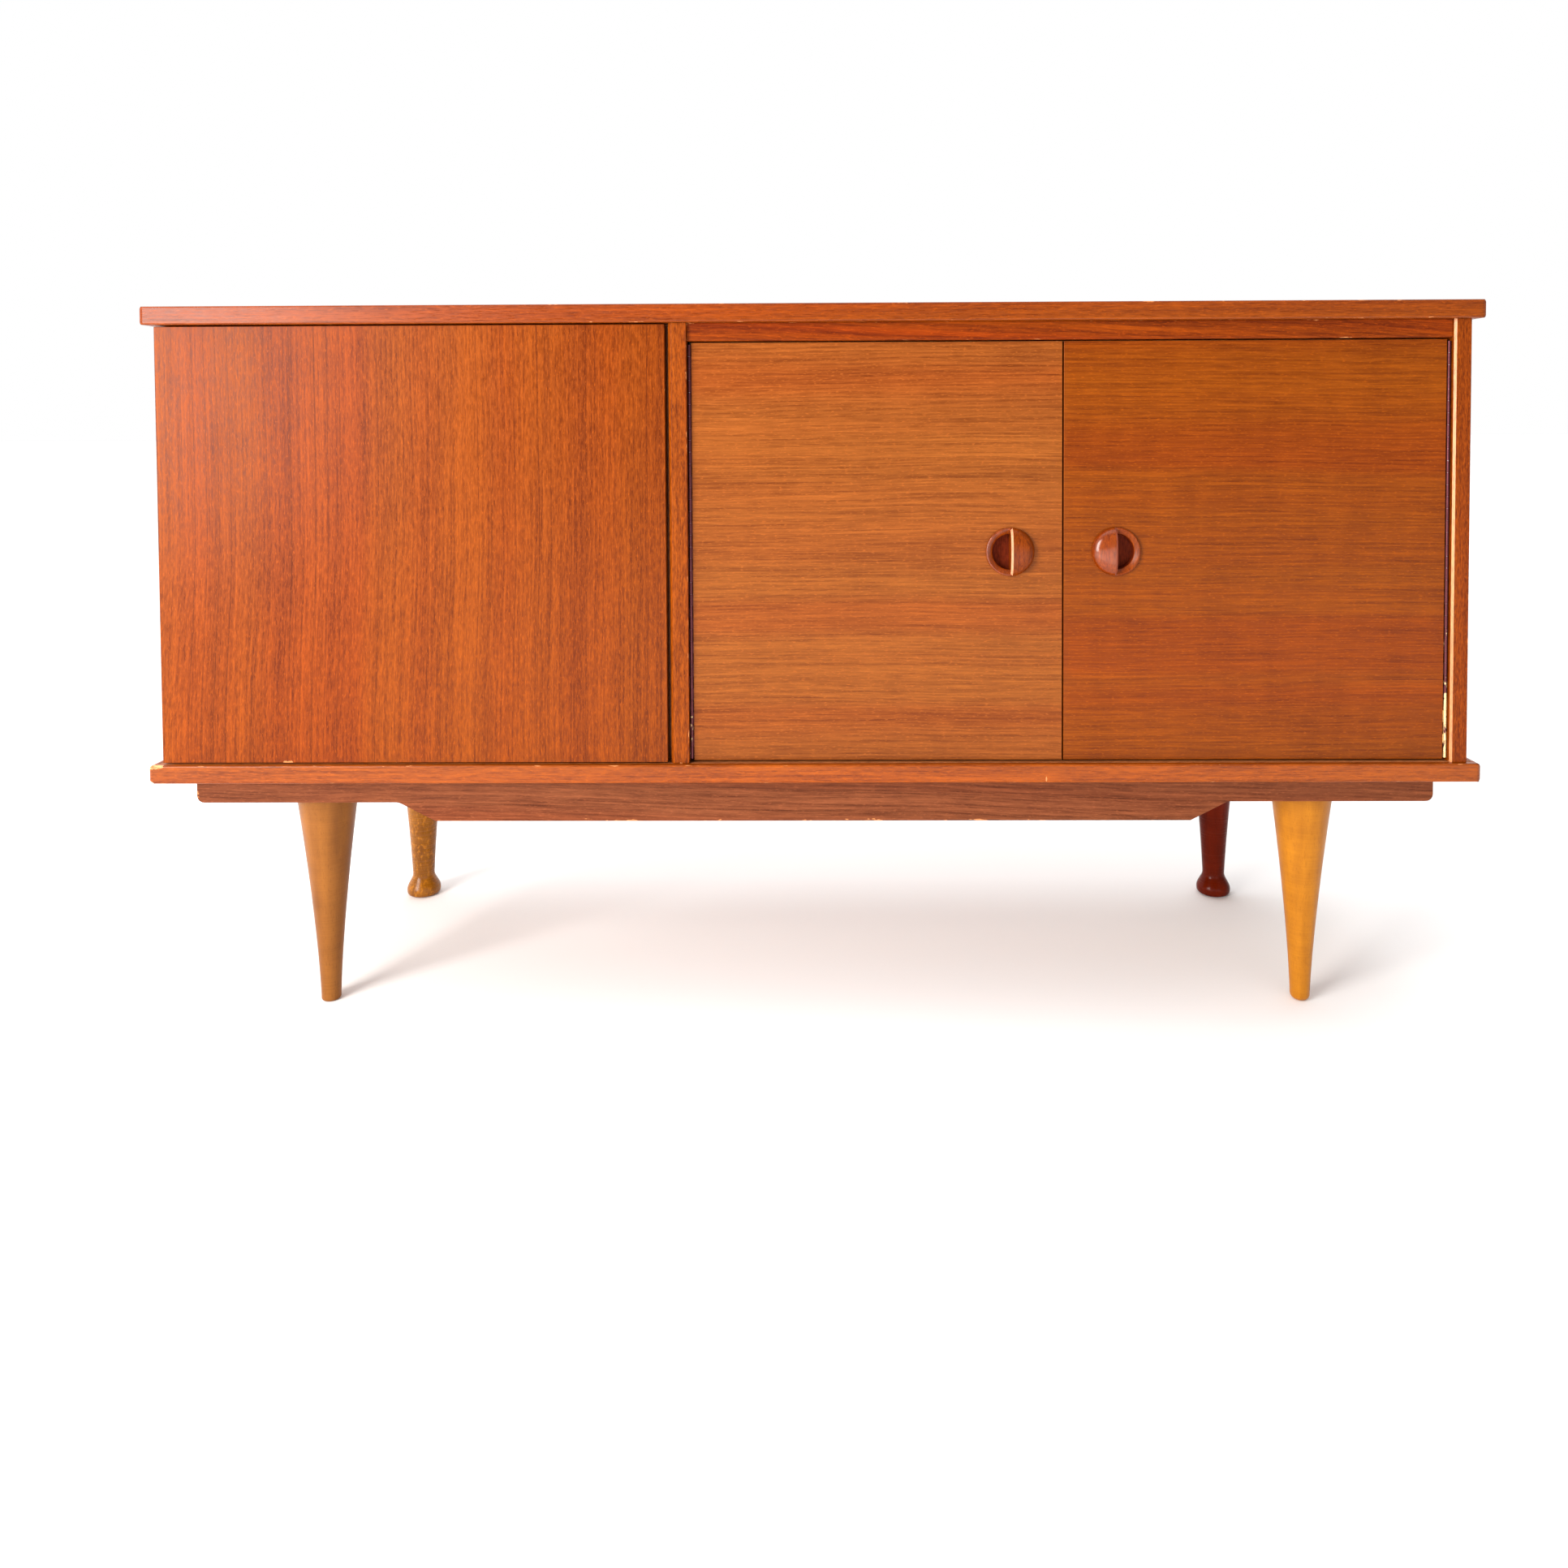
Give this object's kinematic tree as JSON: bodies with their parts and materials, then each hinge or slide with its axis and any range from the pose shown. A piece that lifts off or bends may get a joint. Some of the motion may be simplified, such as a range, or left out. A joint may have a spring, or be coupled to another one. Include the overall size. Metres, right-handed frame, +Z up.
{
  "type": "television sideboard",
  "caption": "Low teak sideboard for a television, with an overlay door, a pair of inset doors on piano hinges, round turned handles and a shaped apron base on turned legs.",
  "frame": {"origin": "on the floor, under the middle of the top board", "axes": "+X to the right along the front, +Y from front to back, +Z up; the doors face -Y"},
  "size_m": [1.45, 0.43, 0.795],
  "materials": {
    "teak_top": "oiled teak veneer, satin",
    "teak_lipping": "solid teak lipping, satin",
    "teak_panel": "teak veneer, satin",
    "teak_door": "teak veneer, satin",
    "teak_rail": "solid figured teak, satin",
    "teak_inside": "plain teak veneer, matte",
    "teak_handle": "solid teak, polished",
    "dark_teak_base": "stained solid wood, satin",
    "beech_leg": "varnished beech",
    "brown_leg": "stained and varnished beech, glossy",
    "raw_beech": "bare beech",
    "ply_back": "bare plywood",
    "hinge_brass": "dull brass-plated steel",
    "steel_zinc": "zinc-plated",
    "steel_dark": "plain steel and ferrite",
    "catch_plastic": "moulded, matte"
  },
  "bodies": {
    "cabinet": {"top_board": "teak_top", "top_front_lipping": "teak_lipping", "top_left_lipping": "teak_lipping", "top_right_lipping": "teak_lipping", "bottom_board": "teak_inside", "bottom_front_lipping": "teak_lipping", "bottom_left_lipping": "teak_lipping", "bottom_right_lipping": "teak_lipping", "left_side_panel": "teak_panel", "right_side_panel": "teak_panel", "divider_panel": "teak_panel", "top_rail": "teak_rail", "top_stop_batten": "raw_beech", "left_door_stop": "teak_inside", "back_panel": "ply_back", "back_panel_nails": "steel_zinc", "carcass_dowels": "raw_beech", "left_shelf": "teak_inside", "right_shelf": "teak_inside", "shelf_pins": "hinge_brass", "left_hinge_frame_leaf": "hinge_brass", "left_hinge_pin": "steel_zinc", "middle_hinge_frame_leaf": "hinge_brass", "middle_hinge_pin": "steel_zinc", "right_hinge_frame_leaf": "hinge_brass", "right_hinge_pin": "steel_zinc", "hinge_frame_screws": "hinge_brass", "left_catch_body": "catch_plastic", "middle_catch_body": "catch_plastic", "right_catch_body": "catch_plastic", "catch_magnets": "steel_dark", "catch_screws": "steel_zinc", "front_apron": "dark_teak_base", "rear_base_rail": "dark_teak_base", "left_base_rail": "dark_teak_base", "right_base_rail": "dark_teak_base", "left_leg_batten": "raw_beech", "right_leg_batten": "raw_beech", "base_screws": "steel_zinc", "base_dowels": "raw_beech", "front_left_leg": "beech_leg", "front_right_leg": "beech_leg", "rear_left_leg": "brown_leg", "rear_right_leg": "brown_leg", "leg_bolts": "steel_zinc", "leg_inserts": "steel_zinc"},
    "left_door": {"left_door": "teak_door", "left_hinge_door_leaf": "hinge_brass", "left_door_screws": "hinge_brass", "left_keeper_plate": "steel_zinc"},
    "middle_door": {"middle_door": "teak_door", "middle_handle": "teak_handle", "middle_hinge_door_leaf": "hinge_brass", "middle_door_screws": "hinge_brass", "middle_keeper_plate": "steel_zinc"},
    "right_door": {"right_door": "teak_door", "right_handle": "teak_handle", "right_hinge_door_leaf": "hinge_brass", "right_door_screws": "hinge_brass", "right_keeper_plate": "steel_zinc"}
  },
  "joints": [
    {"name": "left_door_hinge", "type": "hinge", "parent": "cabinet", "child": "left_door", "pos_m": [-0.7131, -0.19, 0.2985], "axis": [0, 0, -1], "range_deg": [0, 180]},
    {"name": "middle_door_hinge", "type": "hinge", "parent": "cabinet", "child": "middle_door", "pos_m": [-0.13075, -0.202, 0.2985], "axis": [0, 0, -1], "range_deg": [0, 100]},
    {"name": "right_door_hinge", "type": "hinge", "parent": "cabinet", "child": "right_door", "pos_m": [0.69075, -0.202, 0.2985], "axis": [0, 0, 1], "range_deg": [0, 100]}
  ]
}
